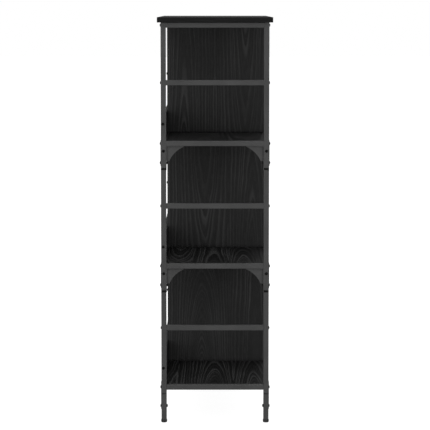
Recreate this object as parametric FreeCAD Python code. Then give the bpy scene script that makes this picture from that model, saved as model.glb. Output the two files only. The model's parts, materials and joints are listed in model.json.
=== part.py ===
import FreeCAD, Part
import math
import os
from FreeCAD import Placement, Rotation, Vector

# Bookcase on a steel frame, in millimetres. +Z is up, the front faces -Y and the width runs along X.
# The origin is on the floor, under the middle of the top board.

# Overall sizes
WIDTH = 785.0
DEPTH = 330.0
HEIGHT = 1170.0
BOARD = 15.0                # thickness of the top board, shelves and partitions
BACK_BOARD = 10.0           # thickness of the low back boards
OVERHANG = 10.0             # top board past the frame, on all four sides
BOARD_EDGE = 0.5            # rounding of the board edges

# Square steel tube of the posts, legs and side bars
TUBE = 15.0
WALL = 1.2
TUBE_ROUND = 1.5

# Heights of the side bars
BOTTOM_BAR = 103.6          # centre of the bar beside the bottom shelf
SHELF_PITCH = 353.3         # from one shelf bar to the next
MID_BAR_RISE = 173.6        # from a shelf bar to the guard bar above it

# Joints between the post sections, measured down from a shelf bar's centre
JOINT_DROP = 73.0
JOINT_GAP = 6.0             # height of the joiner's collar
JOINT_CORNER = 3.0          # rounding of a post section's lower end
LEG_JOINT_DROP = 19.0
LEG_JOINT_GAP = 2.0
LEG_JOINT_CORNER = 1.2
SPIGOT_CLEARANCE = 0.1
SPIGOT_LENGTH = 25.0

# Cover plates on the outer faces of the posts
PLATE = 1.0
PLATE_RISE = 9.0
LEG_PLATE_RISE = 16.4
PLATE_DROP = 63.5
PLATE_CORNER = 2.0

# Corner gussets in the end frames, under the two upper shelf bars
GUSSET_WEB = 1.5
GUSSET_FLANGE = 1.2
GUSSET_FLANGE_WIDTH = 13.0
GUSSET_REACH = 50.0         # along the bar
GUSSET_DROP = 43.0          # down the post
GUSSET_BAR_END = 2.5        # height of the web's end at the bar
GUSSET_POST_END = 9.0       # width of the web's end at the post
GUSSET_ARC = 76.0           # radius of the hollow edge
GUSSET_FOOT = 68.5          # the post flange ends this far below the bar's underside
STUD_RADIUS = 2.0
STUD_HEIGHT = 4.0
STUD_REACH = 38.0

# Brackets that carry the shelf corners
BRACKET = 1.5
BRACKET_WIDTH = 13.0
BRACKET_DROP = 28.0
BRACKET_REACH = 25.0
BRACKET_SCREW = 17.0        # screw from the post's inner side face

# Bolts: button heads with a hexagon socket, on 5 mm shanks
SHANK_RADIUS = 2.5
HOLE_RADIUS = 2.6
HEAD_RADIUS = 4.3
HEAD_HEIGHT = 2.3
HEAD_RIM = 0.5
SOCKET_ACROSS = 3.0
SOCKET_DEPTH = 1.3
JOINT_BOLT_DROP = 55.0
SIDE_BOLT_DROP = 21.5
BACK_BOLT_RISE = 56.0
BACK_BOLT_Y = 149.0
BAR_BOLT_REACH = 20.0       # shank inside the bar
BACK_BOLT_REACH = 28.0      # shank inside the back board
NUT_ACROSS = 8.0
NUT_HEIGHT = 3.2
LEG_NUT_HEIGHT = 2.7
THREAD_END = 0.6            # shank past its nut
BAR_PLUG_LENGTH = 22.0

# Pins, dowels and screws inside the joints
PIN_RADIUS = 2.5
PIN_INTO_SHELF = 15.0
PIN_Y = 100.0
DOWEL_RADIUS = 4.0
DOWEL_DEPTH = 18.0
DOWEL_INTO_TOP = 9.0
DOWEL_Y = 100.0
SCREW_RADIUS = 1.75
SCREW_HEAD_RADIUS = 3.5
SCREW_HEAD_HEIGHT = 2.0
TOP_SCREW_Y = 60.0
TOP_SCREW_DEPTH = 10.0
PARTITION_SCREW_DEPTH = 30.0
BRACKET_SCREW_DEPTH = 11.0
ACCESS_RADIUS = 4.5
FIT = 0.05                  # clearance round pins, dowels and screws

# Back boards
BACK_BOARD_RISE = 74.0      # top edge above a shelf bar's centre

# Levelling feet
FOOT_HEIGHT = 9.3
FOOT_RADIUS = 8.8
FOOT_BASE_RADIUS = 6.8
FOOT_TOP_RADIUS = 7.9
FOOT_LOWER_ROUND = 4.0      # height of the rounded lower edge
FOOT_UPPER_ROUND = 1.6
FOOT_GAP = 0.2              # below the end of the leg
STEM_RADIUS = 3.0
STEM_LENGTH = 24.0
STEM_FIT = 0.05
LEG_PLUG_LENGTH = 18.0

# Places worked out from the sizes above
FRAME_X = WIDTH / 2 - OVERHANG              # outer side face of the end frames
FRAME_Y = DEPTH / 2 - OVERHANG              # outer face of the posts
POST_X = FRAME_X - TUBE / 2
POST_Y = FRAME_Y - TUBE / 2
INNER_X = FRAME_X - TUBE
INNER_Y = FRAME_Y - TUBE
TOP_UNDERSIDE = HEIGHT - BOARD
SHELF_BARS = [BOTTOM_BAR + level * SHELF_PITCH for level in range(3)]
TOP_BAR = TOP_UNDERSIDE - TUBE / 2
LEG_BOTTOM = FOOT_HEIGHT + FOOT_GAP
SIDES = {"left": -1, "right": 1}
FACES = {"front": -1, "rear": 1}
TIERS = ["lower", "middle", "upper"]
UP = Vector(0, 0, 1)


# ---- building blocks

def save(name, shape):
    """Write one node. A list becomes a group of separate solids."""
    node = Part.makeCompound(shape) if isinstance(shape, list) else shape
    if not all(solid.isValid() for solid in node.Solids):
        raise ValueError(name + " is not a valid solid")
    node.exportStep("parts/" + name + ".step")


def block(x0, x1, y0, y1, z0, z1):
    low = Vector(min(x0, x1), min(y0, y1), min(z0, z1))
    return Part.makeBox(abs(x1 - x0), abs(y1 - y0), abs(z1 - z0), low)


def rod(start, direction, length, radius):
    return Part.makeCylinder(radius, length, start, direction)


def placed(shape, point, direction):
    """Move a shape made along +Z from the origin to a point, along a direction."""
    copy = shape.copy()
    copy.Placement = Placement(point, Rotation(UP, direction))
    return copy


def rounded_square(across, radius):
    """A square face with rounded corners, about the origin."""
    inset = across / 2 - radius
    edges = []
    for quarter in range(4):
        start = quarter * 90
        centre = Rotation(UP, start).multVec(Vector(inset, inset, 0))
        ends = [centre + radius * Vector(math.cos(a), math.sin(a), 0)
                for a in (math.radians(start), math.radians(start + 45), math.radians(start + 90))]
        following = Rotation(UP, start + 90).multVec(Vector(inset + radius, inset, 0))
        edges.append(Part.Arc(*ends).toShape())
        edges.append(Part.makeLine(ends[2], following))
    return Part.Face(Part.Wire(edges))


def square_bar(across, radius, start, direction, length):
    return placed(rounded_square(across, radius).extrude(Vector(0, 0, length)), start, direction)


def square_tube(start, direction, length):
    bore = TUBE - 2 * WALL
    outside = square_bar(TUBE, TUBE_ROUND, start, direction, length)
    return outside.cut(square_bar(bore, TUBE_ROUND - WALL / 2, start, direction, length))


def panel(x0, x1, y0, y1, z0, z1):
    """A board with slightly rounded edges."""
    board = block(x0, x1, y0, y1, z0, z1)
    return board.makeFillet(BOARD_EDGE, board.Edges)


def hexagon(across, height):
    corners = [Vector(math.cos(math.radians(60 * k)), math.sin(math.radians(60 * k)), 0)
               * (across / math.sqrt(3)) for k in range(7)]
    return Part.Face(Part.makePolygon(corners)).extrude(Vector(0, 0, height))


def button_bolt(length):
    """A domed head above the origin with a hexagon socket, and a plain shank below it."""
    shoulder = Vector(HEAD_RADIUS, 0, HEAD_RIM)
    crown = Vector(HEAD_RADIUS / 2, 0, HEAD_HEIGHT)
    swell = Vector(HEAD_RADIUS * 0.86, 0, HEAD_HEIGHT * 0.72)
    outline = [
        Part.makeLine(Vector(0, 0, -length), Vector(SHANK_RADIUS, 0, -length)),
        Part.makeLine(Vector(SHANK_RADIUS, 0, -length), Vector(SHANK_RADIUS, 0, 0)),
        Part.makeLine(Vector(SHANK_RADIUS, 0, 0), Vector(HEAD_RADIUS, 0, 0)),
        Part.makeLine(Vector(HEAD_RADIUS, 0, 0), shoulder),
        Part.Arc(shoulder, swell, crown).toShape(),
        Part.makeLine(crown, Vector(0, 0, HEAD_HEIGHT)),
        Part.makeLine(Vector(0, 0, HEAD_HEIGHT), Vector(0, 0, -length)),
    ]
    bolt = Part.Face(Part.Wire(outline)).revolve(Vector(0, 0, 0), UP, 360)
    socket = hexagon(SOCKET_ACROSS, SOCKET_DEPTH)
    socket.translate(Vector(0, 0, HEAD_HEIGHT - SOCKET_DEPTH))
    return bolt.cut(socket)


def hex_nut(height):
    return hexagon(NUT_ACROSS, height).cut(rod(Vector(0, 0, 0), UP, height, SHANK_RADIUS + FIT))


def wood_screw(length):
    """A pan head below the origin and a plain shank above it."""
    head = rod(Vector(0, 0, -SCREW_HEAD_HEIGHT), UP, SCREW_HEAD_HEIGHT, SCREW_HEAD_RADIUS)
    return head.fuse(rod(Vector(0, 0, 0), UP, length, SCREW_RADIUS))


# ---- corners of the frame

def corners():
    for side_name, side in SIDES.items():
        for face_name, face in FACES.items():
            yield face_name + "_" + side_name, side, face


def corner_holes(side, face):
    """Every bolt hole that crosses one corner post, as long cutting rods."""
    out_y = Vector(0, face, 0)
    out_x = Vector(side, 0, 0)
    through = 2 * TUBE
    inside_y = face * (INNER_Y - TUBE / 2)
    inside_x = side * (INNER_X - TUBE / 2)
    holes = []
    for height in bar_heights():
        holes.append(rod(Vector(side * POST_X, inside_y, height), out_y, through, HOLE_RADIUS))
    for bar in SHELF_BARS:
        start = Vector(side * POST_X, inside_y, bar - JOINT_BOLT_DROP)
        holes.append(rod(start, out_y, through, HOLE_RADIUS))
    for bar in SHELF_BARS[1:]:
        start = Vector(inside_x, face * POST_Y, bar - SIDE_BOLT_DROP)
        holes.append(rod(start, out_x, through, HOLE_RADIUS))
    if face > 0:
        for bar in SHELF_BARS:
            start = Vector(inside_x, BACK_BOLT_Y, bar + BACK_BOLT_RISE)
            holes.append(rod(start, out_x, through, HOLE_RADIUS))
    return holes


def bar_heights():
    heights = []
    for bar in SHELF_BARS:
        heights += [bar, bar + MID_BAR_RISE]
    return heights + [TOP_BAR]


def tongue(side, face, joint, gap, corner, height):
    """A post section above a joint, solid, with its lower end rounded in the end view."""
    low = joint + gap / 2
    body = block(side * FRAME_X, side * INNER_X, face * FRAME_Y, face * INNER_Y, low, low + height)
    across = [edge for edge in body.Edges
              if abs(edge.BoundBox.XLength - TUBE) < FIT and edge.BoundBox.ZMax < low + FIT]
    return body.makeFillet(corner, across)


def post_section(side, face, low, high, corner, holes):
    """One length of post. Its lower end is rounded where it stands on a joiner."""
    tube = square_tube(Vector(side * POST_X, face * POST_Y, low), UP, high - low)
    if corner:
        tube = tube.common(tongue(side, face, low, 0, corner, high - low))
    return tube.cut(holes)


def joiner(side, face, joint, gap, corner, up, down, holes):
    """A plastic plug between two lengths of post, with a collar that fills the gap."""
    base = Vector(side * POST_X, face * POST_Y, joint - gap / 2)
    spigot = TUBE - 2 * WALL - 2 * SPIGOT_CLEARANCE
    collar = square_bar(TUBE, TUBE_ROUND, base, UP, gap + corner)
    collar = collar.cut(tongue(side, face, joint, gap, corner, corner + 1))
    plug = square_bar(spigot, TUBE_ROUND - WALL / 2, base - Vector(0, 0, down), UP, gap + down + up)
    return collar.fuse(plug).removeSplitter().cut(holes)


def cover_plate(side, face, bar, rise, holes):
    """A thin plate on the outer face of a post, held by the bar bolt and the bolt below it."""
    plate = block(side * FRAME_X, side * INNER_X, face * FRAME_Y, face * (FRAME_Y + PLATE),
                  bar - PLATE_DROP, bar + rise)
    rims = [edge for edge in plate.Edges if abs(edge.BoundBox.YLength - PLATE) < FIT]
    return plate.makeFillet(PLATE_CORNER, rims).cut(holes)


def gusset(side, face, bar, holes):
    """A bracket with a hollow curved edge in the end frame, a post flange, a bar flange and a stud."""
    def point(reach, drop):
        return Vector(side * POST_X - GUSSET_WEB / 2, face * (INNER_Y - reach), bar - TUBE / 2 - drop)

    chord_y = GUSSET_REACH - GUSSET_POST_END
    chord_z = GUSSET_DROP - GUSSET_BAR_END
    half = math.hypot(chord_y, chord_z) / 2
    sagitta = GUSSET_ARC - math.sqrt(GUSSET_ARC ** 2 - half ** 2)
    middle_y = (GUSSET_REACH + GUSSET_POST_END) / 2 - sagitta * chord_z / (2 * half)
    middle_z = (GUSSET_DROP + GUSSET_BAR_END) / 2 - sagitta * chord_y / (2 * half)
    outline = [
        Part.makeLine(point(0, 0), point(GUSSET_REACH, 0)),
        Part.makeLine(point(GUSSET_REACH, 0), point(GUSSET_REACH, GUSSET_BAR_END)),
        Part.Arc(point(GUSSET_REACH, GUSSET_BAR_END), point(middle_y, middle_z),
                 point(GUSSET_POST_END, GUSSET_DROP)).toShape(),
        Part.makeLine(point(GUSSET_POST_END, GUSSET_DROP), point(0, GUSSET_DROP)),
        Part.makeLine(point(0, GUSSET_DROP), point(0, 0)),
    ]
    web = Part.Face(Part.Wire(outline)).extrude(Vector(GUSSET_WEB, 0, 0))
    low_x = side * POST_X - GUSSET_FLANGE_WIDTH / 2
    high_x = side * POST_X + GUSSET_FLANGE_WIDTH / 2
    top = bar - TUBE / 2
    post_flange = block(low_x, high_x, face * INNER_Y, face * (INNER_Y - GUSSET_FLANGE),
                        top - GUSSET_FOOT, top)
    bar_flange = block(low_x, high_x, face * INNER_Y, face * (INNER_Y - GUSSET_REACH),
                       top - GUSSET_FLANGE, top)
    stud = rod(Vector(side * POST_X, face * (INNER_Y - STUD_REACH), top), UP, STUD_HEIGHT, STUD_RADIUS)
    whole = web.fuse([post_flange, bar_flange, stud]).removeSplitter()
    return whole.cut(holes)


def shelf_bracket(side, face, bar, holes):
    """An angle bracket on a post's inner side face, under the corner of a shelf."""
    top = bar - TUBE / 2
    low_y = face * POST_Y - BRACKET_WIDTH / 2
    high_y = face * POST_Y + BRACKET_WIDTH / 2
    upright = block(side * INNER_X, side * (INNER_X - BRACKET), low_y, high_y, top - BRACKET_DROP, top)
    ledge = block(side * INNER_X, side * (INNER_X - BRACKET_REACH), low_y, high_y, top - BRACKET, top)
    screw_hole = rod(Vector(side * (INNER_X - BRACKET_SCREW), face * POST_Y, top - 2 * BRACKET), UP,
                     3 * BRACKET, SCREW_RADIUS + FIT)
    return upright.fuse(ledge).removeSplitter().cut(holes + [screw_hole])


# ---- the end frames

def make_posts_and_legs():
    joints = [bar - JOINT_DROP for bar in SHELF_BARS[1:]]
    leg_joint = BOTTOM_BAR - LEG_JOINT_DROP
    lows = [leg_joint + LEG_JOINT_GAP / 2] + [joint + JOINT_GAP / 2 for joint in joints]
    highs = [joint - JOINT_GAP / 2 for joint in joints] + [TOP_UNDERSIDE]
    rounds = [LEG_JOINT_CORNER, JOINT_CORNER, JOINT_CORNER]
    joiners = []
    for corner_name, side, face in corners():
        holes = corner_holes(side, face)
        for tier, low, high, corner in zip(TIERS, lows, highs, rounds):
            section = post_section(side, face, low, high, corner, holes)
            save("post_" + corner_name + "_" + tier, section)
        leg = post_section(side, face, LEG_BOTTOM, leg_joint - LEG_JOINT_GAP / 2, 0, holes)
        save("leg_" + corner_name, leg)
        for joint in joints:
            joiners.append(joiner(side, face, joint, JOINT_GAP, JOINT_CORNER,
                                  SPIGOT_LENGTH, SPIGOT_LENGTH, holes))
        joiners.append(joiner(side, face, leg_joint, LEG_JOINT_GAP, LEG_JOINT_CORNER,
                              LEG_JOINT_DROP + TUBE, JOINT_BOLT_DROP - LEG_JOINT_DROP + TUBE / 2, holes))
    save("post_joiners", joiners)


def make_side_bars():
    names = []
    for tier in TIERS:
        names += ["shelf_bar_" + tier, "guard_bar_" + tier]
    names.append("top_bar")
    plugs = []
    for side_name, side in SIDES.items():
        for name, height in zip(names, bar_heights()):
            bar = square_tube(Vector(side * POST_X, -INNER_Y, height), Vector(0, 1, 0), 2 * INNER_Y)
            save(name + "_" + side_name, bar.cut(bar_cuts(side, height)))
            for face in FACES.values():
                plugs.append(bar_plug(side, face, height))
    save("bar_end_plugs", plugs)


def bar_plug(side, face, height):
    """A threaded plug in the end of a bar, which the bar bolt screws into."""
    across = TUBE - 2 * WALL - 2 * FIT
    start = Vector(side * POST_X, face * INNER_Y, height)
    inward = Vector(0, -face, 0)
    plug = square_bar(across, TUBE_ROUND - WALL / 2, start, inward, BAR_PLUG_LENGTH)
    return plug.cut(rod(start, inward, BAR_PLUG_LENGTH, SHANK_RADIUS + FIT))


def bar_cuts(side, height):
    """Holes in a side bar: shelf pins, gusset studs and the screws of the top board."""
    cuts = []
    if height in SHELF_BARS:
        for y in (-PIN_Y, PIN_Y):
            start = Vector(side * (INNER_X - WALL), y, height)
            cuts.append(rod(start, Vector(side, 0, 0), TUBE, PIN_RADIUS + FIT))
    if height in SHELF_BARS[1:]:
        for face in FACES.values():
            start = Vector(side * POST_X, face * (INNER_Y - STUD_REACH), height - TUBE)
            cuts.append(rod(start, UP, TUBE, STUD_RADIUS + FIT))
    if height == TOP_BAR:
        for y in (-TOP_SCREW_Y, TOP_SCREW_Y):
            cuts.append(rod(Vector(side * POST_X, y, height - TUBE), UP, TUBE, ACCESS_RADIUS))
            cuts.append(rod(Vector(side * POST_X, y, height), UP, TUBE, SCREW_RADIUS + FIT))
    return cuts


def make_corner_plates():
    plates = []
    brackets = []
    gussets = {"lower": [], "upper": []}
    for _, side, face in corners():
        holes = corner_holes(side, face)
        plates.append(cover_plate(side, face, BOTTOM_BAR, LEG_PLATE_RISE, holes))
        for level, bar in zip(gussets, SHELF_BARS[1:]):
            plates.append(cover_plate(side, face, bar, PLATE_RISE, holes))
            gussets[level].append(gusset(side, face, bar, holes))
            brackets.append(shelf_bracket(side, face, bar, holes))
    save("joint_cover_plates", plates)
    save("shelf_corner_brackets", brackets)
    for level, group in gussets.items():
        save("corner_gussets_" + level, group)


# ---- boards

def shelf_holes(bar, level):
    """Pin, dowel and screw holes of one shelf."""
    holes = []
    for side in SIDES.values():
        for y in (-PIN_Y, PIN_Y):
            start = Vector(side * (INNER_X - PIN_INTO_SHELF - FIT), y, bar)
            holes.append(rod(start, Vector(side, 0, 0), 2 * PIN_INTO_SHELF, PIN_RADIUS + FIT))
        if level > 0:
            for face in FACES.values():
                start = Vector(side * (INNER_X - BRACKET_SCREW), face * POST_Y, bar - BOARD)
                depth = BOARD / 2 + BRACKET_SCREW_DEPTH + FIT
                holes.append(rod(start, UP, depth, SCREW_RADIUS + FIT))
    for y in (-DOWEL_Y, DOWEL_Y):
        if level > 0:
            holes.append(rod(Vector(0, y, bar - BOARD), UP, 2 * BOARD, DOWEL_RADIUS + FIT))
        else:
            head = SCREW_HEAD_HEIGHT + FIT
            holes.append(rod(Vector(0, y, bar - BOARD), UP, 2 * BOARD, SCREW_RADIUS + FIT))
            holes.append(rod(Vector(0, y, bar - BOARD), UP, BOARD / 2 + head, SCREW_HEAD_RADIUS + FIT))
    return holes


def make_boards():
    top = panel(-WIDTH / 2, WIDTH / 2, -DEPTH / 2, DEPTH / 2, TOP_UNDERSIDE, HEIGHT)
    top_holes = [rod(Vector(0, y, TOP_UNDERSIDE - BOARD), UP, BOARD + DOWEL_INTO_TOP + FIT,
                     DOWEL_RADIUS + FIT) for y in (-DOWEL_Y, DOWEL_Y)]
    for side in SIDES.values():
        for y in (-TOP_SCREW_Y, TOP_SCREW_Y):
            top_holes.append(rod(Vector(side * POST_X, y, TOP_UNDERSIDE - BOARD), UP,
                                 BOARD + TOP_SCREW_DEPTH + FIT, SCREW_RADIUS + FIT))
    save("top_board", top.cut(top_holes))
    for level, (tier, bar) in enumerate(zip(TIERS, SHELF_BARS)):
        low = bar - TUBE / 2
        high = bar + TUBE / 2
        ceiling = TOP_UNDERSIDE if level == 2 else SHELF_BARS[level + 1] - TUBE / 2
        shelf = panel(-INNER_X, INNER_X, -FRAME_Y, FRAME_Y, low, high)
        save("shelf_" + tier, shelf.cut(shelf_holes(bar, level)))
        make_partition(tier, high, ceiling, level)
        make_back_board(tier, bar)


def make_partition(tier, floor, ceiling, level):
    partition = panel(-BOARD / 2, BOARD / 2, -FRAME_Y, FRAME_Y - BACK_BOARD, floor, ceiling)
    holes = []
    for y in (-DOWEL_Y, DOWEL_Y):
        holes.append(rod(Vector(0, y, ceiling), -UP, DOWEL_DEPTH + FIT, DOWEL_RADIUS + FIT))
        depth = DOWEL_DEPTH if level > 0 else PARTITION_SCREW_DEPTH
        radius = DOWEL_RADIUS if level > 0 else SCREW_RADIUS
        holes.append(rod(Vector(0, y, floor), UP, depth + FIT, radius + FIT))
    save("partition_" + tier, partition.cut(holes))


def make_back_board(tier, bar):
    board = panel(-INNER_X, INNER_X, FRAME_Y - BACK_BOARD, FRAME_Y, bar + TUBE / 2, bar + BACK_BOARD_RISE)
    holes = []
    for side in SIDES.values():
        start = Vector(side * (INNER_X - BACK_BOLT_REACH - FIT), BACK_BOLT_Y, bar + BACK_BOLT_RISE)
        holes.append(rod(start, Vector(side, 0, 0), 2 * BACK_BOLT_REACH, SHANK_RADIUS + FIT))
    save("back_board_" + tier, board.cut(holes))


# ---- fasteners

def make_bolts():
    bar_bolts = []
    joint_bolts = []
    joint_nuts = []
    side_bolts = []
    side_nuts = []
    back_bolts = []
    for _, side, face in corners():
        out_y = Vector(0, face, 0)
        out_x = Vector(side, 0, 0)
        for height in bar_heights():
            seat = FRAME_Y + (PLATE if height in SHELF_BARS else 0)
            bolt = button_bolt(seat - INNER_Y + BAR_BOLT_REACH)
            bar_bolts.append(placed(bolt, Vector(side * POST_X, face * seat, height), out_y))
        for bar in SHELF_BARS:
            is_leg = bar == BOTTOM_BAR
            nut_height = LEG_NUT_HEIGHT if is_leg else NUT_HEIGHT
            nut_seat = INNER_Y - (0 if is_leg else GUSSET_FLANGE)
            height = bar - JOINT_BOLT_DROP
            seat = FRAME_Y + PLATE
            bolt = button_bolt(seat - nut_seat + nut_height + THREAD_END)
            joint_bolts.append(placed(bolt, Vector(side * POST_X, face * seat, height), out_y))
            nut_base = Vector(side * POST_X, face * (nut_seat - nut_height), height)
            joint_nuts.append(placed(hex_nut(nut_height), nut_base, out_y))
        for bar in SHELF_BARS[1:]:
            height = bar - SIDE_BOLT_DROP
            bolt = button_bolt(TUBE + BRACKET + NUT_HEIGHT + THREAD_END)
            side_bolts.append(placed(bolt, Vector(side * FRAME_X, face * POST_Y, height), out_x))
            nut_base = Vector(side * (INNER_X - BRACKET - NUT_HEIGHT), face * POST_Y, height)
            side_nuts.append(placed(hex_nut(NUT_HEIGHT), nut_base, out_x))
        if face > 0:
            for bar in SHELF_BARS:
                seat = Vector(side * FRAME_X, BACK_BOLT_Y, bar + BACK_BOLT_RISE)
                back_bolts.append(placed(button_bolt(TUBE + BACK_BOLT_REACH), seat, out_x))
    save("bar_bolts", bar_bolts)
    save("joint_bolts", joint_bolts)
    save("bracket_bolts", side_bolts)
    save("bolt_nuts", joint_nuts + side_nuts)
    save("back_board_bolts", back_bolts)


def make_pins_dowels_and_screws():
    pins = []
    screws = []
    for side in SIDES.values():
        for y in (-PIN_Y, PIN_Y):
            for bar in SHELF_BARS:
                start = Vector(side * (INNER_X - PIN_INTO_SHELF), y, bar)
                length = PIN_INTO_SHELF + TUBE - WALL
                pins.append(rod(start, Vector(side, 0, 0), length, PIN_RADIUS))
        for y in (-TOP_SCREW_Y, TOP_SCREW_Y):
            seat = Vector(side * POST_X, y, TOP_UNDERSIDE - WALL)
            screws.append(placed(wood_screw(WALL + TOP_SCREW_DEPTH), seat, UP))
        for face in FACES.values():
            for bar in SHELF_BARS[1:]:
                seat = Vector(side * (INNER_X - BRACKET_SCREW), face * POST_Y, bar - TUBE / 2 - BRACKET)
                screws.append(placed(wood_screw(BRACKET + BRACKET_SCREW_DEPTH), seat, UP))
    dowels = []
    for y in (-DOWEL_Y, DOWEL_Y):
        seat = Vector(0, y, BOTTOM_BAR - BOARD / 2 + SCREW_HEAD_HEIGHT)
        length = BOARD - SCREW_HEAD_HEIGHT + PARTITION_SCREW_DEPTH
        screws.append(placed(wood_screw(length), seat, UP))
        for bar in SHELF_BARS[1:]:
            start = Vector(0, y, bar - BOARD / 2 - DOWEL_DEPTH)
            dowels.append(rod(start, UP, BOARD + 2 * DOWEL_DEPTH, DOWEL_RADIUS))
        start = Vector(0, y, TOP_UNDERSIDE - DOWEL_DEPTH)
        dowels.append(rod(start, UP, DOWEL_DEPTH + DOWEL_INTO_TOP, DOWEL_RADIUS))
    save("shelf_pins", pins)
    save("wood_screws", screws)
    save("partition_dowels", dowels)


# ---- feet

def levelling_foot():
    """A rounded plastic pad with a threaded stem, standing on the origin."""
    top = Vector(FOOT_TOP_RADIUS, 0, FOOT_HEIGHT)
    widest_low = Vector(FOOT_RADIUS, 0, FOOT_LOWER_ROUND)
    widest_high = Vector(FOOT_RADIUS, 0, FOOT_HEIGHT - FOOT_UPPER_ROUND)
    lower_swell = Vector(FOOT_RADIUS - 0.5, 0, FOOT_LOWER_ROUND * 0.4)
    upper_swell = Vector(FOOT_RADIUS - 0.25, 0, FOOT_HEIGHT - FOOT_UPPER_ROUND * 0.35)
    stem_top = FOOT_HEIGHT + STEM_LENGTH
    outline = [
        Part.makeLine(Vector(0, 0, 0), Vector(FOOT_BASE_RADIUS, 0, 0)),
        Part.Arc(Vector(FOOT_BASE_RADIUS, 0, 0), lower_swell, widest_low).toShape(),
        Part.makeLine(widest_low, widest_high),
        Part.Arc(widest_high, upper_swell, top).toShape(),
        Part.makeLine(top, Vector(STEM_RADIUS, 0, FOOT_HEIGHT)),
        Part.makeLine(Vector(STEM_RADIUS, 0, FOOT_HEIGHT), Vector(STEM_RADIUS, 0, stem_top)),
        Part.makeLine(Vector(STEM_RADIUS, 0, stem_top), Vector(0, 0, stem_top)),
        Part.makeLine(Vector(0, 0, stem_top), Vector(0, 0, 0)),
    ]
    return Part.Face(Part.Wire(outline)).revolve(Vector(0, 0, 0), UP, 360)


def make_feet():
    plugs = []
    foot = levelling_foot()
    for corner_name, side, face in corners():
        centre = Vector(side * POST_X, face * POST_Y, 0)
        save("foot_" + corner_name, placed(foot, centre, UP))
        start = centre + Vector(0, 0, LEG_BOTTOM)
        plug = square_bar(TUBE - 2 * WALL - 2 * FIT, TUBE_ROUND - WALL / 2, start, UP, LEG_PLUG_LENGTH)
        plugs.append(plug.cut(rod(start, UP, LEG_PLUG_LENGTH, STEM_RADIUS + STEM_FIT)))
    save("leg_end_plugs", plugs)


def main():
    os.makedirs("parts", exist_ok=True)
    make_boards()
    make_posts_and_legs()
    make_side_bars()
    make_corner_plates()
    make_bolts()
    make_pins_dowels_and_screws()
    make_feet()


main()
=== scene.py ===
import json
import math

import bpy
import numpy as np
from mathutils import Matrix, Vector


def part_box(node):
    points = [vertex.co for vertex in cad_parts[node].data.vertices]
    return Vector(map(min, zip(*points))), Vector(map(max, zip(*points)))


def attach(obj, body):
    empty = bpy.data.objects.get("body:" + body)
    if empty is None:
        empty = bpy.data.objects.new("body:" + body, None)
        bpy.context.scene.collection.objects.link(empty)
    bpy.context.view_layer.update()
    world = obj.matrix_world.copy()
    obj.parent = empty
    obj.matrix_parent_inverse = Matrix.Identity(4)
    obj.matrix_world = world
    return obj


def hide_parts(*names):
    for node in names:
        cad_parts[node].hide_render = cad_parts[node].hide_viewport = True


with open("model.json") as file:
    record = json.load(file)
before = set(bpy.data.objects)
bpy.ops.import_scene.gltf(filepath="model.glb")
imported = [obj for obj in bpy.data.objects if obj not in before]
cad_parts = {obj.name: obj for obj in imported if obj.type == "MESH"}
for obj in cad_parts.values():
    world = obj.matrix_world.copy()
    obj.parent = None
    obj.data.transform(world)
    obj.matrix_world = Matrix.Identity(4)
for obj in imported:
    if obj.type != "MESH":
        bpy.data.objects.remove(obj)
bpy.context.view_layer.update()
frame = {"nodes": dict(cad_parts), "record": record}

MM = 0.001
X, Y, Z = 0, 1, 2

# ---- camera

CAMERA_PLACE = (-5.900, 0.0, 1.203)
CAMERA_DOWN = 5.689             # degrees below level, looking along +X at the left end
CAMERA_LENS = 162.0
CAMERA_SHIFT = -0.03895
CAMERA_SENSOR = 36.0
CAMERA_CLIP = (0.1, 200.0)

# ---- floor and lights, in metres and watts

FLOOR_GLOW = 0.9
FLOOR_REACH = 40.0
FLOOR_LEVEL = -10.2 * MM        # just under the feet when they are screwed right out
HORIZON_LIGHT = 0.12
CEILING_LIGHT = 1.0
CEILING_START = 0.1             # sine of the height where the ceiling's light begins
CEILING_FULL = 0.6
BOX_PLACE = (3.5, 2.6, 1.0)     # of one soft box, mirrored to each corner
BOX_SIZE = 2.4
BOX_POWER = 60.0
BOX_AIM = 0.6                   # height the soft boxes point at
# Each soft box: its name, left or right, front or rear.
SOFT_BOXES = [
    ("box_left_front", -1, -1), ("box_left_rear", -1, 1),
    ("box_right_front", 1, -1), ("box_right_rear", 1, 1),
]

# ---- boards, in metres

EDGE_ROUND = 0.8 * MM           # rounding where the edge band meets the faces
ROUNDING_ANGLES = (45, 30, 15, 0)
BAND = 1.1 * MM                 # the edge band shows this wide on each broad face
BAND_SEAM = 0.12 * MM           # half the width of the hairline beside the band
BAND_SEAM_DEPTH = 0.08 * MM
STEP_ACROSS = 5 * MM            # spacing of the board grids
STEP_ALONG = 10 * MM

# ---- figure of the boards, in waves per metre across and along the grain

SWAY = (14.0, 3.5, 1.0)         # slow bends of the lines, 70 mm wide and 290 mm long
SWAY_SIZE = 0.016               # metres
WOBBLE = (70.0, 14.0, 1.0)      # small kinks, 14 mm wide and 70 mm long
WOBBLE_SIZE = 0.0035            # metres
SPACING_CHANGE = 28.0           # waves per metre from line to line
SPACING_CHANGE_SIZE = 3.0       # lines
LINE_CREST = 0.14               # where a line is brightest, from 0 to 1 across it
LINE_FALL = ((0.34, 0.75), (0.58, 0.1), (1.0, 0.0))
FAINTEST_LINE = 0.2
PATCHES = (12.0, 4.0, 1.0)      # quiet and busy patches, 80 mm wide and 250 mm long
PATCH_RANGE = (0.38, 0.6)
PORES = (830.0, 33.0, 1.0)      # 1.2 mm wide and 30 mm long
PORE_RANGE = (0.5, 0.68)
PORE_HEIGHT = -0.25             # against a line's height
CLOUDS = (9.0, 2.2, 1.0)        # slow changes of tone, 110 mm wide and 450 mm long
LINE_TONE = 0.8
PORE_TONE = 0.08
CLOUD_TONE = 0.1

# ---- edge band

STREAKS = (500.0, 17.0, 0.0)    # waves per metre: 2 mm wide and 60 mm long
STREAK_HEIGHT = 0.05 * MM

# ---- mottled finishes

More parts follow.
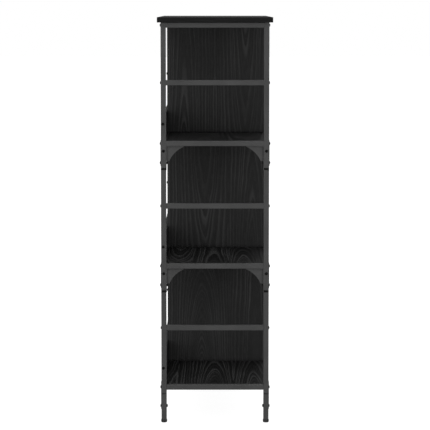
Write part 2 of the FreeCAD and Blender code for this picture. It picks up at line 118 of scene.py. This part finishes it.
GRIT_TONE = 0.35                # of the grit, against the patches
MOTTLE_RANGE = (0.45, 0.9)

# ---- levelling feet, in metres

FOOT_SIDES = 48
PAD_HEIGHT = 9.3 * MM
PAD_RADIUS = 8.8 * MM
PAD_BASE = 6.8 * MM             # radius of the ring it stands on
PAD_LOWER = 4.0 * MM            # height of the rounded lower edge
PAD_RIM = 1.2 * MM
PAD_WAIST = 5.8 * MM            # height of the mould line
PAD_GROOVE = 0.2 * MM
PAD_DISH = 0.8 * MM             # hollow under the pad
PAD_DISH_RADIUS = 5.0 * MM
PAD_LIP = 0.8 * MM
STEM_SIDES = 32
THREAD_PITCH = 1.0 * MM
THREAD_CREST = 2.95 * MM
THREAD_ROOT = 2.40 * MM
THREAD_TIP = 1.9 * MM
THREAD_STEPS = 8                # rows of the stem's grid in each turn

# ---- screw heads under the bottom shelf, in metres

PARTITION_SCREW_Y = 100.0 * MM  # from the middle of the depth
HEAD_RADIUS = 3.5 * MM
HEAD_CROWN = 0.9 * MM
HEAD_SEAT = 0.6 * MM            # depth of the rim inside the board
HEAD_RINGS = 13
HEAD_SIDES = 48
CROSS_ARM = 0.65 * MM           # half the width of the recess
CROSS_REACH = 2.2 * MM
CROSS_DEPTH = 0.8 * MM
CROSS_SLOPE = 0.25 * MM


# ---- meshes

def closed_mesh(name, points, quads, materials):
    """Weld points that lie in the same place, turn quads that lose a corner at a pole into triangles, and
    make an object of the faces."""
    _, first, index = np.unique(np.round(points, 8), axis=0, return_index=True, return_inverse=True)
    corners = index.reshape(-1)[quads]
    repeats = corners == np.roll(corners, 1, axis=1)
    whole = corners[~repeats.any(axis=1)]
    at_pole = repeats.sum(axis=1) == 1
    triangles = corners[at_pole][~repeats[at_pole]].reshape(-1, 3)
    mesh = bpy.data.meshes.new(name)
    mesh.from_pydata(points[first].tolist(), [], whole.tolist() + triangles.tolist())
    mesh.polygons.foreach_set("use_smooth", np.full(len(mesh.polygons), True))
    for material in materials:
        mesh.materials.append(material)
    piece = bpy.data.objects.new(name, mesh)
    bpy.context.scene.collection.objects.link(piece)
    return piece


def grid_quads(rows, columns):
    """Corner numbers of the cells of a grid of points. They run anticlockwise when row numbers grow to the
    right and column numbers grow upwards."""
    corner = np.arange(rows * columns).reshape(rows, columns)
    cells = [corner[:-1, :-1], corner[1:, :-1], corner[1:, 1:], corner[:-1, 1:]]
    return np.stack(cells, axis=-1).reshape(-1, 4)


def stations(low, high, step, seam):
    """Places of the grid lines along one side of a board: close together over the rounded edge and at the
    band's hairline, then even. The rounding's lines stand at round * (1 - tan(angle))."""
    angles = np.radians(ROUNDING_ANGLES)
    near = list(EDGE_ROUND * (1 - np.tan(angles)))
    if seam:
        near += [BAND - BAND_SEAM, BAND, BAND + BAND_SEAM]
    near = np.array(near)
    count = max(2, math.ceil((high - low - 2 * near[-1]) / step) + 1)
    middle = np.linspace(low + near[-1], high - near[-1], count)[1:-1]
    return np.concatenate([low + near, middle, (high - near)[::-1]])


def growth(across, along, hearts):
    """Distance from the heart of the tree, which a saw cut turns into arches. For one heart line it is
    sqrt(across^2 + depth^2) + lean * along * exp(-(across / reach)^2), with across and along measured from
    where that heart lies, and where veneer leaves lie side by side the nearest heart counts."""
    rings = []
    for heart, start, depth, lean, reach in hearts:
        aside = across - heart * MM
        bow = lean * (along - start * MM) * np.exp(-(aside / (reach * MM)) ** 2)
        rings.append(np.hypot(aside, depth * MM) + bow)
    return np.min(rings, axis=0)


def board(node, along_axis, thick_axis, hearts, face_material, band_material):
    """A board as six grids. A point of a box is drawn in to the nearest point of the core, the box less its
    rounding, and put back at the rounding's radius from it. Beside the edge band both broad faces dip by
    seam depth * (1 - |distance from the band's line| / seam half-width)."""
    low, high = (np.array(corner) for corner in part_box(node))
    across_axis = 3 - along_axis - thick_axis
    steps = {along_axis: STEP_ALONG, across_axis: STEP_ACROSS, thick_axis: STEP_ACROSS}
    lines = [stations(low[axis], high[axis], steps[axis], axis != thick_axis) for axis in (X, Y, Z)]
    points, quads, grains, bands = [], [], [], []
    middle = (low + high) / 2
    total = 0
    for normal in (X, Y, Z):
        u_axis, v_axis = (normal + 1) % 3, (normal + 2) % 3
        u, v = np.meshgrid(lines[u_axis], lines[v_axis], indexing="ij")
        for side in (-1, 1):
            flat = np.empty(u.shape + (3,))
            flat[..., u_axis] = u
            flat[..., v_axis] = v
            flat[..., normal] = high[normal] if side > 0 else low[normal]
            core = np.clip(flat, low + EDGE_ROUND, high - EDGE_ROUND)
            outward = flat - core
            outward /= np.linalg.norm(outward, axis=-1, keepdims=True)
            rounded = core + EDGE_ROUND * outward
            inset = np.minimum(flat - low, high - flat)
            inset[..., thick_axis] = np.inf
            from_outline = inset.min(axis=-1)
            place = flat - middle
            if normal == thick_axis:
                dip = BAND_SEAM_DEPTH * np.clip(1 - np.abs(from_outline - BAND) / BAND_SEAM, 0, 1)
                rounded[..., normal] -= side * dip
                across, along = place[..., across_axis], place[..., along_axis]
                ring = growth(across, along, hearts)
            else:
                along = place[..., 3 - normal - thick_axis]
                across = place[..., thick_axis]
                ring = across
                from_outline = np.zeros_like(from_outline)
            grains.append(np.stack([across, along, ring], axis=-1).reshape(-1, 3))
            bands.append(from_outline.reshape(-1) < BAND)
            cells = grid_quads(*u.shape)
            quads.append((cells if side > 0 else cells[:, ::-1]) + total)
            points.append(rounded.reshape(-1, 3))
            total += u.size
    points, quads, grains = np.concatenate(points), np.concatenate(quads), np.concatenate(grains)
    piece = closed_mesh(node + "_board", points, quads, [face_material, band_material])
    is_band = np.concatenate(bands)[quads].any(axis=1)
    piece.data.polygons.foreach_set("material_index", is_band.astype(np.int32))
    grain = piece.data.attributes.new("grain", "FLOAT_VECTOR", "CORNER")
    grain.data.foreach_set("vector", grains[quads].astype(np.float32).ravel())
    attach(piece, "bookcase")
    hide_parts(node)


def turned(radius, height, sides, twist=None):
    """Points and quads of a profile, radius and height in metres, carried round the Z axis. The outline runs
    from the bottom centre out and up to the top centre. twist(height, angle) is added to each radius."""
    angle = np.append(np.linspace(0, 2 * math.pi, sides, endpoint=False), 0.0)
    r, a = np.meshgrid(radius, angle, indexing="ij")
    z = np.meshgrid(height, angle, indexing="ij")[0]
    if twist is not None:
        r = r + np.where(r > 0, twist(z, a), 0)
    points = np.stack([r * np.cos(a), r * np.sin(a), z], axis=-1).reshape(-1, 3)
    return points, grid_quads(len(radius), len(angle))[:, ::-1]


def quarter(centre_r, centre_z, wide, tall, start, stop, steps):
    """Points of an ellipse arc: centre + (wide * cos(angle), tall * sin(angle))."""
    angle = np.radians(np.linspace(start, stop, steps))
    return np.stack([centre_r + wide * np.cos(angle), centre_z + tall * np.sin(angle)], axis=-1)


def foot_pad(node, place, material):
    """A moulded pad: dished underneath, with an elliptic lower edge, a mould line round its waist, a rounded
    rim and a flat top. The outline is turned round the stem's axis."""
    outline = np.concatenate([
        [(0, PAD_DISH), (PAD_DISH_RADIUS, PAD_DISH)],
        quarter(PAD_DISH_RADIUS + PAD_LIP, PAD_LIP, PAD_LIP, PAD_LIP, 180, 270, 5),
        quarter(PAD_BASE, PAD_LOWER, PAD_RADIUS - PAD_BASE, PAD_LOWER, -90, 0, 9),
        [(PAD_RADIUS, PAD_WAIST - PAD_GROOVE), (PAD_RADIUS - PAD_GROOVE, PAD_WAIST),
         (PAD_RADIUS, PAD_WAIST + PAD_GROOVE)],
        quarter(PAD_RADIUS - PAD_RIM, PAD_HEIGHT - PAD_RIM, PAD_RIM, PAD_RIM, 0, 90, 7),
        [(0, PAD_HEIGHT)],
    ])
    points, quads = turned(*outline.T, FOOT_SIDES)
    piece = closed_mesh(node + "_pad", points + place, quads, [material])
    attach(piece, node)
    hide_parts(node)


def foot_stem(node, place, top, material):
    """An M6 stem. Its radius is the root's plus the thread's height * |2 * fraction - 1|, where fraction is
    what is left of height / pitch - angle / one turn after its whole turns. The thread runs out over the
    first and last pitch."""
    low, high = PAD_HEIGHT - THREAD_PITCH, top
    rows = round((high - low) / THREAD_PITCH * THREAD_STEPS) + 1
    height = np.linspace(low, high, rows)
    radius = np.full(rows, THREAD_ROOT)
    radius[-THREAD_STEPS // 2:] = np.linspace(THREAD_ROOT, THREAD_TIP, THREAD_STEPS // 2)

    def thread(z, angle):
        fraction = np.mod(z / THREAD_PITCH - angle / (2 * math.pi), 1)
        fade = np.clip(np.minimum(z - low, high - z) / THREAD_PITCH, 0, 1)
        return (THREAD_CREST - THREAD_ROOT) * np.abs(2 * fraction - 1) * fade

    radius = np.concatenate([[0], radius, [0]])
    height = np.concatenate([[low], height, [high]])
    points, quads = turned(radius, height, STEM_SIDES, thread)
    piece = closed_mesh(node + "_stem", points + place, quads, [material])
    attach(piece, node)
    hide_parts(node)


def screw_head(name, place, material):
    """A raised countersunk head with a cross recess, seen from below. Its face hangs below the board by
    crown * sqrt(1 - (radius / rim)^2), less the recess where either arm of the cross passes."""
    reach = np.concatenate([np.linspace(0, 1, HEAD_RINGS), [1.0, 0.0]])
    angle = np.append(np.linspace(0, 2 * math.pi, HEAD_SIDES, endpoint=False), 0.0)
    r, a = np.meshgrid(reach, angle, indexing="ij")
    x, y = HEAD_RADIUS * r * np.cos(a), HEAD_RADIUS * r * np.sin(a)
    arm = np.clip((CROSS_ARM - np.minimum(np.abs(x), np.abs(y))) / CROSS_SLOPE, 0, 1)
    arm *= np.clip((CROSS_REACH - np.hypot(x, y)) / CROSS_SLOPE, 0, 1)
    drop = HEAD_CROWN * np.sqrt(np.clip(1 - r ** 2, 0, 1)) - CROSS_DEPTH * arm
    drop[-2:] = -HEAD_SEAT
    points = np.stack([x, y, -drop], axis=-1).reshape(-1, 3)
    quads = grid_quads(*r.shape)[:, ::-1]
    piece = closed_mesh(name, points + place, quads, [material])
    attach(piece, "bookcase")


# ---- materials

def linear(colour):
    """An sRGB hex colour as linear red, green, blue and alpha."""
    parts = np.array([int(colour[k:k + 2], 16) for k in (1, 3, 5)]) / 255
    light = np.where(parts <= 0.04045, parts / 12.92, ((parts + 0.055) / 1.055) ** 2.4)
    return (*light.tolist(), 1.0)


def add(tree, kind, inputs=None, **settings):
    """Add a shader node. Settings are its properties; each input is a value or another node's output."""
    made = tree.nodes.new("ShaderNode" + kind)
    for name, value in settings.items():
        setattr(made, name, value)
    for socket, value in (inputs or {}).items():
        if isinstance(value, bpy.types.NodeSocket):
            tree.links.new(value, made.inputs[socket])
        else:
            made.inputs[socket].default_value = value
    return made


def new_material(name):
    material = bpy.data.materials.new(name)
    material.use_nodes = True
    material.node_tree.nodes.clear()
    return material, material.node_tree


def close_material(tree, surface):
    add(tree, "OutputMaterial", {"Surface": surface.outputs["BSDF"]})


def black_oak_laminate(name, dark, light, spacing, figure, fade, roughness, relief, gloss):
    """Melamine paper printed with black-stained oak and pressed on a grained plate. The ground is matt and
    dark, the growth lines are paler, rougher and slightly raised, and short fine pores run along the grain.
    spacing is how far apart the lines stand and relief their height, in metres. figure is how strongly they
    show, and fade how much of that is left in the quiet patches. roughness is the range from the ground to
    the lines, and gloss the specular level. A line stands for about four years' growth, and the pores are
    1.2 mm wide and 30 mm long, four times the real width, so that both show."""
    material, tree = new_material(name)
    grain = add(tree, "Attribute", attribute_name="grain").outputs["Vector"]
    split = add(tree, "SeparateXYZ", {"Vector": grain})
    across, along, ring = (split.outputs[k] for k in "XYZ")
    ground = add(tree, "CombineXYZ", {"X": across, "Y": along}).outputs[0]

    def noise(stretch, detail):
        place = add(tree, "VectorMath", {0: ground, 1: stretch}, operation="MULTIPLY").outputs[0]
        return add(tree, "TexNoise", {"Vector": place, "Scale": 1.0, "Detail": detail}).outputs[0]

    def scaled_sum(value, factor, rest):
        return add(tree, "Math", {0: value, 1: factor, 2: rest}, operation="MULTIPLY_ADD").outputs[0]

    # Bend the rings, count them with uneven spacing, and give each its own strength.
    bent = scaled_sum(noise(SWAY, 2.0), SWAY_SIZE, ring)
    bent = scaled_sum(noise(WOBBLE, 2.0), WOBBLE_SIZE, bent)
    uneven = add(tree, "TexNoise", {"W": bent, "Scale": SPACING_CHANGE, "Detail": 1.0},
                 noise_dimensions="1D").outputs[0]
    counted = scaled_sum(uneven, SPACING_CHANGE_SIZE, scaled_sum(bent, 1 / spacing, 0.0))
    year = add(tree, "Math", {0: counted}, operation="FLOOR").outputs[0]
    part = add(tree, "Math", {0: counted}, operation="FRACT").outputs[0]
    weight = add(tree, "TexWhiteNoise", {"W": year}, noise_dimensions="1D").outputs["Value"]
    line = add(tree, "ValToRGB", {"Fac": part})
    line.color_ramp.elements[1].position = LINE_CREST
    for position, value in LINE_FALL:
        line.color_ramp.elements.new(position).color = (value, value, value, 1)
    strength = add(tree, "MapRange", {"Value": weight, "To Min": FAINTEST_LINE, "To Max": 1.0}).outputs[0]
    patch = add(tree, "MapRange", {"Value": noise(PATCHES, 1.0), "From Min": PATCH_RANGE[0],
                                   "From Max": PATCH_RANGE[1], "To Min": fade, "To Max": 1.0}).outputs[0]
    strength = add(tree, "Math", {0: strength, 1: patch}, operation="MULTIPLY").outputs[0]
    mark = scaled_sum(line.outputs["Color"], strength, 0.0)

    # Lines, pores and slow clouds make the tone.
    pore = add(tree, "MapRange", {"Value": noise(PORES, 2.0), "From Min": PORE_RANGE[0],
                                  "From Max": PORE_RANGE[1]}).outputs[0]
    tone = scaled_sum(mark, LINE_TONE * figure, scaled_sum(pore, PORE_TONE, 0.0))
    tone = scaled_sum(noise(CLOUDS, 3.0), CLOUD_TONE, tone)
    colour = add(tree, "Mix", {"Factor": tone, "A": linear(dark), "B": linear(light)},
                 data_type="RGBA").outputs["Result"]
    rough = add(tree, "MapRange", {"Value": mark, "To Min": roughness[0], "To Max": roughness[1]}).outputs[0]
    height = scaled_sum(pore, PORE_HEIGHT, mark)
    bump = add(tree, "Bump", {"Height": height, "Distance": relief, "Strength": 1.0}).outputs[0]
    close_material(tree, add(tree, "BsdfPrincipled", {
        "Base Color": colour, "Roughness": rough, "Normal": bump, "IOR": 1.45, "Specular IOR Level": gloss}))
    return material


def black_edge_band():
    """ABS edge band, extruded and lightly grained: plain near-black, dull, with faint long streaks."""
    material, tree = new_material("black_abs_edge_band_extruded")
    grain = add(tree, "Attribute", attribute_name="grain").outputs["Vector"]
    stretch = add(tree, "VectorMath", {0: grain, 1: STREAKS}, operation="MULTIPLY").outputs[0]
    streak = add(tree, "TexNoise", {"Vector": stretch, "Scale": 1.0, "Detail": 3.0}).outputs[0]
    colour = add(tree, "Mix", {"Factor": streak, "A": linear("#020202"), "B": linear("#2a2a2a")},
                 data_type="RGBA").outputs["Result"]
    rough = add(tree, "MapRange", {"Value": streak, "To Min": 0.42, "To Max": 0.56}).outputs[0]
    bump = add(tree, "Bump", {"Height": streak, "Distance": STREAK_HEIGHT, "Strength": 1.0}).outputs[0]
    close_material(tree, add(tree, "BsdfPrincipled", {
        "Base Color": colour, "Roughness": rough, "Normal": bump, "IOR": 1.45, "Specular IOR Level": 0.05}))
    return material


def mottled(name, dark, light, patch, grit, roughness, relief, metallic=0.0, ior=None, gloss=0.5):
    """A finish with slow patches and a fine grit, both on Object coordinates. patch and grit are sizes in
    metres, roughness is the range from the dark to the light patches, relief is the grit's height in metres,
    gloss is the specular level. No ior leaves a metal its default."""
    material, tree = new_material(name)
    place = add(tree, "TexCoord").outputs["Object"]
    patches = add(tree, "TexNoise", {"Vector": place, "Scale": 1 / patch, "Detail": 3.0}).outputs[0]
    grain = add(tree, "TexNoise", {"Vector": place, "Scale": 1 / grit, "Detail": 2.0}).outputs[0]
    both = add(tree, "Math", {0: grain, 1: GRIT_TONE, 2: patches}, operation="MULTIPLY_ADD").outputs[0]
    shade = add(tree, "MapRange", {"Value": both, "From Min": MOTTLE_RANGE[0],
                                   "From Max": MOTTLE_RANGE[1]}).outputs[0]
    colour = add(tree, "Mix", {"Factor": shade, "A": linear(dark), "B": linear(light)},
                 data_type="RGBA").outputs["Result"]
    rough = add(tree, "MapRange", {"Value": shade, "To Min": roughness[0],
                                   "To Max": roughness[1]}).outputs[0]
    bump = add(tree, "Bump", {"Height": grain, "Distance": relief, "Strength": 1.0}).outputs[0]
    sockets = {"Base Color": colour, "Roughness": rough, "Normal": bump, "Metallic": metallic,
               "Specular IOR Level": gloss}
    if ior:
        sockets["IOR"] = ior
    close_material(tree, add(tree, "BsdfPrincipled", sockets))
    return material


# ---- stage

def stage_floor():
    """A plain pale floor, wide enough to run to the horizon and lit from below like a light table, so that
    only a faint shadow is left on it."""
    material, tree = new_material("pale_lit_acrylic_floor")
    place = add(tree, "TexCoord").outputs["Object"]
    cloud = add(tree, "TexNoise", {"Vector": place, "Scale": 0.8, "Detail": 2.0}).outputs[0]
    colour = add(tree, "Mix", {"Factor": cloud, "A": linear("#888888"), "B": linear("#909090")},
                 data_type="RGBA").outputs["Result"]
    seen = add(tree, "LightPath").outputs["Is Camera Ray"]
    glow = add(tree, "Math", {0: seen, 1: FLOOR_GLOW}, operation="MULTIPLY").outputs[0]
    close_material(tree, add(tree, "BsdfPrincipled", {
        "Base Color": colour, "Roughness": 0.9, "IOR": 1.4,
        "Emission Color": (1, 1, 1, 1), "Emission Strength": glow}))
    signs = ((-1, -1), (1, -1), (1, 1), (-1, 1))
    corners = [(FLOOR_REACH * x, FLOOR_REACH * y, FLOOR_LEVEL) for x, y in signs]
    mesh = bpy.data.meshes.new("floor")
    mesh.from_pydata(corners, [], [(0, 1, 2, 3)])
    mesh.materials.append(material)
    floor = bpy.data.objects.new("floor", mesh)
    bpy.context.scene.collection.objects.link(floor)


def stage_lights():
    """A room with a bright ceiling and a white backdrop, and a big soft box off each corner."""
    world = bpy.data.worlds.new("studio")
    world.use_nodes = True
    tree = world.node_tree
    tree.nodes.clear()
    seen = add(tree, "LightPath").outputs["Is Camera Ray"]
    toward = add(tree, "TexCoord").outputs["Generated"]
    upward = add(tree, "SeparateXYZ", {"Vector": toward}).outputs["Z"]
    glow = add(tree, "MapRange", {"Value": upward, "From Min": CEILING_START, "From Max": CEILING_FULL,
                                  "To Min": HORIZON_LIGHT, "To Max": CEILING_LIGHT}).outputs[0]
    room = add(tree, "Background", {"Color": (1, 1, 1, 1), "Strength": glow}).outputs[0]
    backdrop = add(tree, "Background", {"Color": (1, 1, 1, 1), "Strength": 1.0}).outputs[0]
    mixed = add(tree, "MixShader", {0: seen, 1: room, 2: backdrop}).outputs[0]
    add(tree, "OutputWorld", {"Surface": mixed})
    bpy.context.scene.world = world
    for name, side, face in SOFT_BOXES:
        place = np.array((side, face, 1)) * BOX_PLACE
        lamp = bpy.data.lights.new(name, "AREA")
        lamp.shape = "SQUARE"
        lamp.size = BOX_SIZE
        lamp.energy = BOX_POWER
        box = bpy.data.objects.new(name, lamp)
        bpy.context.scene.collection.objects.link(box)
        box.location = place
        aim = np.array((0, 0, BOX_AIM)) - place
        tilt = math.atan2(math.hypot(aim[X], aim[Y]), -aim[Z])
        box.rotation_euler = (tilt, 0, math.atan2(-aim[X], aim[Y]))
        box.visible_camera = False


def stage_camera():
    """Level with the top board, looking slightly down at the left end."""
    lens = bpy.data.cameras.new("camera")
    lens.lens = CAMERA_LENS
    lens.sensor_width = CAMERA_SENSOR
    lens.shift_y = CAMERA_SHIFT
    lens.clip_start, lens.clip_end = CAMERA_CLIP
    camera = bpy.data.objects.new("camera", lens)
    bpy.context.scene.collection.objects.link(camera)
    camera.location = CAMERA_PLACE
    camera.rotation_euler = (math.radians(90 - CAMERA_DOWN), 0, math.radians(-90))
    bpy.context.scene.camera = camera
    bpy.context.scene.view_settings.view_transform = "Standard"


# ---- the object

# Shelves and top board: crisp pale lines on a nearly black ground. The ground is painted darker than the
# uprights' as painted shade for the less lit level boards.
lively = black_oak_laminate(
    "black_oak_laminate_lively_figure_painted_shade", "#060606", "#4c4c4c", spacing=8.5 * MM, figure=1.0, fade=0.45,
    roughness=(0.42, 0.6), relief=0.15 * MM, gloss=0.05)
# Upright boards: a greyer ground with faint lines. The grey ground is a painted lighter copy of the same
# laminate, as painted light for the better lit uprights.
calm = black_oak_laminate(
    "black_oak_laminate_calm_figure_painted_light", "#202020", "#545454", spacing=8.5 * MM, figure=0.38, fade=0.35,
    roughness=(0.42, 0.55), relief=0.25 * MM, gloss=0.1)
edge_band = black_edge_band()
# Fine-textured powder coat: dull, even, with a slight orange peel.
steel = mottled(
    "black_powder_coat_on_steel", "#363636", "#3e3e3e", patch=60 * MM, grit=1.5 * MM,
    roughness=(0.42, 0.5), relief=0.03 * MM, ior=1.5)
# Black lacquer baked on cold-forged heads: darker than the frame, with a soft gloss on the rounding.
bolt_black = mottled(
    "black_lacquered_steel_forged", "#060606", "#0f0f0f", patch=5 * MM, grit=0.6 * MM,
    roughness=(0.3, 0.42), relief=0.02 * MM, ior=1.5, gloss=0.12)
# Injection-moulded nylon: nearly black, with a fine eroded texture.
plastic = mottled(
    "black_nylon_moulded", "#070707", "#0f0f0f", patch=8 * MM, grit=0.7 * MM,
    roughness=(0.4, 0.55), relief=0.03 * MM, ior=1.53, gloss=0.12)
# The same nylon, a little greyer all over: a painted lighter copy that stands in for light on the pads.
pad_nylon = mottled(
    "black_nylon_moulded_painted_lighter", "#141414", "#1e1e1e", patch=6 * MM, grit=0.7 * MM,
    roughness=(0.4, 0.6), relief=0.04 * MM, ior=1.53)
# Bright zinc plating: a pale metal with slightly cloudy patches.
zinc = mottled(
    "bright_zinc_plated_steel", "#8f9296", "#a6a9ad", patch=6 * MM, grit=0.5 * MM,
    roughness=(0.3, 0.45), relief=0.01 * MM, metallic=1.0)
# Turned beech: pale and dry, with its end grain and flecks as a fine mottle.
beech = mottled(
    "beech_dowel_turned", "#b58d62", "#c9a57a", patch=4 * MM, grit=1.0 * MM,
    roughness=(0.6, 0.75), relief=0.05 * MM, ior=1.45)

FINISHES = {
    "black_oak_board": calm, "powder_coated_steel": steel, "black_bolt_steel": bolt_black,
    "black_plastic": plastic, "zinc_plated_steel": zinc, "beech_dowel": beech,
}
for entry in frame["record"]["subparts"]:
    for slot in frame["nodes"][entry["node"]].material_slots:
        slot.material = FINISHES[entry["material_slot"]]

# Each heart line: mm across from the board's middle, mm along to its start, mm deep, lean, mm of reach.
BOARD_HEARTS = {
    "top_board": [(-40, 100, 12, 0.12, 45), (120, -200, 14, -0.10, 45)],
    "shelf_lower": [(2, -60, 12, 0.16, 34), (-115, -100, 10, 0.10, 60), (210, 0, 10, -0.11, 150)],
    "shelf_middle": [(104, -150, 9, -0.14, 34), (-84, -150, 9, 0.14, 32), (5, 0, 20, 0.03, 60)],
    "shelf_upper": [(30, -100, 12, 0.12, 40), (-90, 0, 10, -0.12, 36)],
    "partition_lower": [(46, 80, 7, 0.40, 46), (-120, 0, 25, 0.02, 80)],
    "partition_middle": [(36, 90, 14, -0.09, 50), (-109, 60, 9, 0.10, 40)],
    "partition_upper": [(-87, 14, 7, -0.11, 44), (99, 130, 8, 0.07, 40)],
    "back_board_lower": [(0, 0, 60, 0.02, 200)],
    "back_board_middle": [(10, 100, 50, 0.03, 200)],
    "back_board_upper": [(-10, -100, 55, -0.02, 200)],
}
for name, hearts in BOARD_HEARTS.items():
    upright = name.startswith("partition")
    back = name.startswith("back")
    along_axis = Z if upright else X
    thick_axis = X if upright else Y if back else Z
    board(name, along_axis, thick_axis, hearts, calm if upright or back else lively, edge_band)

for node in ("foot_front_left", "foot_front_right", "foot_rear_left", "foot_rear_right"):
    low, high = (np.array(corner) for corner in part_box(node))
    standing = (low + high) / 2 * (1, 1, 0)
    foot_pad(node, standing, pad_nylon)
    foot_stem(node, standing, high[Z], zinc)

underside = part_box("shelf_lower")[0][Z]
for end, side in (("front", -1), ("rear", 1)):
    screw_head("partition_screw_head_" + end, np.array((0, side * PARTITION_SCREW_Y, underside)), zinc)

stage_floor()
stage_lights()
stage_camera()
